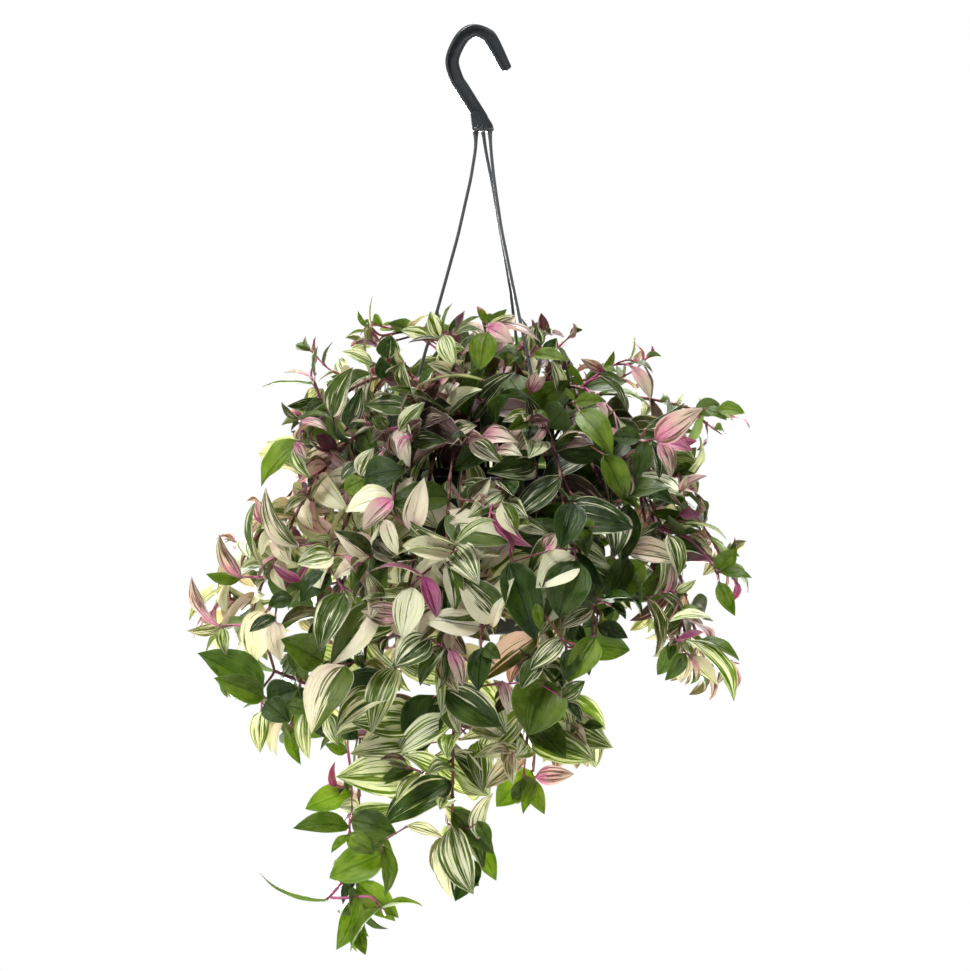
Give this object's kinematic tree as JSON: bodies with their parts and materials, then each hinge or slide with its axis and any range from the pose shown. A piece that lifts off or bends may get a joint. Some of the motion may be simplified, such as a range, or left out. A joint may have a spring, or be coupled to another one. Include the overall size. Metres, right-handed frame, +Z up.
{
  "type": "potted tradescantia",
  "caption": "Trailing tradescantia with cream-striped, green and pink leaves in a dark plastic hanging pot, on a moulded three-strand hanger that ends in a hook.",
  "frame": {"origin": "crown inside the hook, where it rests on the rod or ceiling hook that holds the plant up", "axes": "+Z up along the hanging length; +X to the viewer's right, in the plane of the hook, with its mouth towards +X; +Y away from the viewer"},
  "size_m": [0.4469, 0.3526, 0.7261],
  "materials": {
    "hanger_plastic": "dark grey moulded polypropylene, satin, with paler worn edges",
    "pot_plastic": "near-black thermoformed plastic, satin",
    "soil": "moist peat and fine bark, crumbly and matt",
    "leaf_striped": "living leaf with burgundy stem: thin, softly glossy, a little light comes through, green with cream lengthwise stripes",
    "leaf_green": "living leaf with burgundy stem: thin, softly glossy, a little light comes through, plain green",
    "leaf_cream": "living leaf with burgundy stem: thin, softly glossy, a little light comes through, cream with a few green lines",
    "leaf_half": "living leaf with burgundy stem: thin, softly glossy, a little light comes through, half cream and half green",
    "leaf_pink": "living leaf with burgundy stem: thin, softly glossy, a little light comes through, striped, with a pink blush and purple underside"
  },
  "bodies": {
    "root": {"hanger": "hanger_plastic", "pot": "pot_plastic", "potting_soil": "soil", "leafy_stem_01": "leaf_pink", "leafy_stem_02": "leaf_striped", "leafy_stem_03": "leaf_green", "leafy_stem_04": "leaf_striped", "leafy_stem_05": "leaf_striped", "leafy_stem_06": "leaf_green", "leafy_stem_07": "leaf_striped", "leafy_stem_08": "leaf_cream", "leafy_stem_09": "leaf_striped", "leafy_stem_10": "leaf_green", "leafy_stem_11": "leaf_cream", "leafy_stem_12": "leaf_green", "leafy_stem_13": "leaf_striped", "leafy_stem_14": "leaf_striped", "leafy_stem_15": "leaf_striped", "leafy_stem_16": "leaf_striped", "leafy_stem_17": "leaf_striped", "leafy_stem_18": "leaf_green", "leafy_stem_19": "leaf_green", "leafy_stem_20": "leaf_striped", "leafy_stem_21": "leaf_cream", "leafy_stem_22": "leaf_striped", "leafy_stem_23": "leaf_green", "leafy_stem_24": "leaf_striped", "leafy_stem_25": "leaf_pink", "leafy_stem_26": "leaf_pink", "leafy_stem_27": "leaf_half", "leafy_stem_28": "leaf_cream", "leafy_stem_29": "leaf_green", "leafy_stem_30": "leaf_green", "leafy_stem_31": "leaf_pink", "leafy_stem_32": "leaf_pink", "leafy_stem_33": "leaf_pink", "leafy_stem_34": "leaf_striped", "leafy_stem_35": "leaf_green", "leafy_stem_36": "leaf_striped", "leafy_stem_37": "leaf_green", "leafy_stem_38": "leaf_half", "leafy_stem_39": "leaf_striped", "leafy_stem_40": "leaf_green", "leafy_stem_41": "leaf_striped", "leafy_stem_42": "leaf_green", "leafy_stem_43": "leaf_striped", "leafy_stem_44": "leaf_green", "leafy_stem_45": "leaf_striped", "leafy_stem_46": "leaf_pink", "leafy_stem_47": "leaf_cream"}
  },
  "joints": []
}
